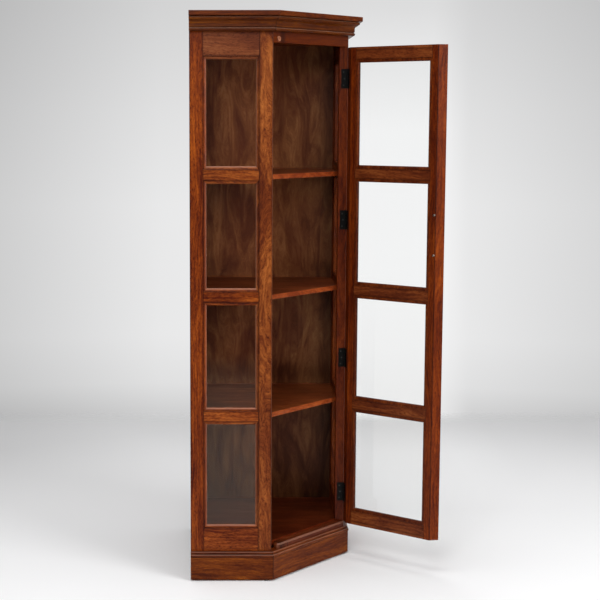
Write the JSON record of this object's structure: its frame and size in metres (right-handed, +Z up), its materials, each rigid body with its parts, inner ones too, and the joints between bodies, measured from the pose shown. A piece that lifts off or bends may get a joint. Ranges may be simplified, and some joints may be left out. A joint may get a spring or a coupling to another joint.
{
  "type": "corner bookcase with glazed door",
  "caption": "Tall corner display bookcase with a cut-off front corner, glazed side frames, shelves and a hinged glass door on the diagonal.",
  "frame": {"origin": "middle of the whole bounding box with the door open, on the floor", "axes": "+X to the right along the front, +Y from the front to the wall behind, +Z up"},
  "size_m": [0.8028, 0.5566, 1.8],
  "materials": {
    "frame_wood": "satin lacquer",
    "inner_wood": "satin lacquer",
    "glass": "clear, polished",
    "hinge_iron": "black, semi-gloss",
    "pull_iron": "black, satin",
    "screw_steel": "bright zinc",
    "glide_plastic": "matte"
  },
  "bodies": {
    "carcass": {"back_panel": "inner_wood", "cap_board": "frame_wood", "corner_post": "frame_wood", "diagonal_base_board": "frame_wood", "diagonal_base_moulding": "frame_wood", "diagonal_cornice": "frame_wood", "floor_board": "inner_wood", "front_base_board": "frame_wood", "front_base_moulding": "frame_wood", "front_bottom_rail": "frame_wood", "front_cornice": "frame_wood", "front_glass": "glass", "front_glass_beads": "frame_wood", "front_middle_rail_1": "frame_wood", "front_middle_rail_2": "frame_wood", "front_middle_rail_3": "frame_wood", "front_top_rail": "frame_wood", "front_wall_stile": "frame_wood", "glides": "glide_plastic", "header_plug": "frame_wood", "header_rail": "frame_wood", "hinge_post": "frame_wood", "hinge_post_leaves": "hinge_iron", "left_panel": "inner_wood", "shelf_1": "inner_wood", "shelf_2": "inner_wood", "shelf_3": "inner_wood", "side_base_board": "frame_wood", "side_base_moulding": "frame_wood", "side_bottom_rail": "frame_wood", "side_cornice": "frame_wood", "side_glass": "glass", "side_glass_beads": "frame_wood", "side_middle_rail_1": "frame_wood", "side_middle_rail_2": "frame_wood", "side_middle_rail_3": "frame_wood", "side_top_rail": "frame_wood", "side_wall_stile": "frame_wood", "sill_board": "frame_wood", "sill_strip": "frame_wood", "top_board": "inner_wood"},
    "door": {"door_bottom_rail": "frame_wood", "door_glass": "glass", "door_glass_beads": "frame_wood", "door_hinge_stile": "frame_wood", "door_lock_stile": "frame_wood", "door_middle_rail_1": "frame_wood", "door_middle_rail_2": "frame_wood", "door_middle_rail_3": "frame_wood", "door_pull": "pull_iron", "door_pull_screws": "screw_steel", "door_top_rail": "frame_wood", "hinge_door_leaves": "hinge_iron"}
  },
  "joints": [
    {"name": "door_hinge", "type": "hinge", "parent": "carcass", "child": "door", "pos_m": [0.10945, 0.0195, 0.9085], "axis": [0, 0, 1], "range_deg": [-100, 80]}
  ]
}
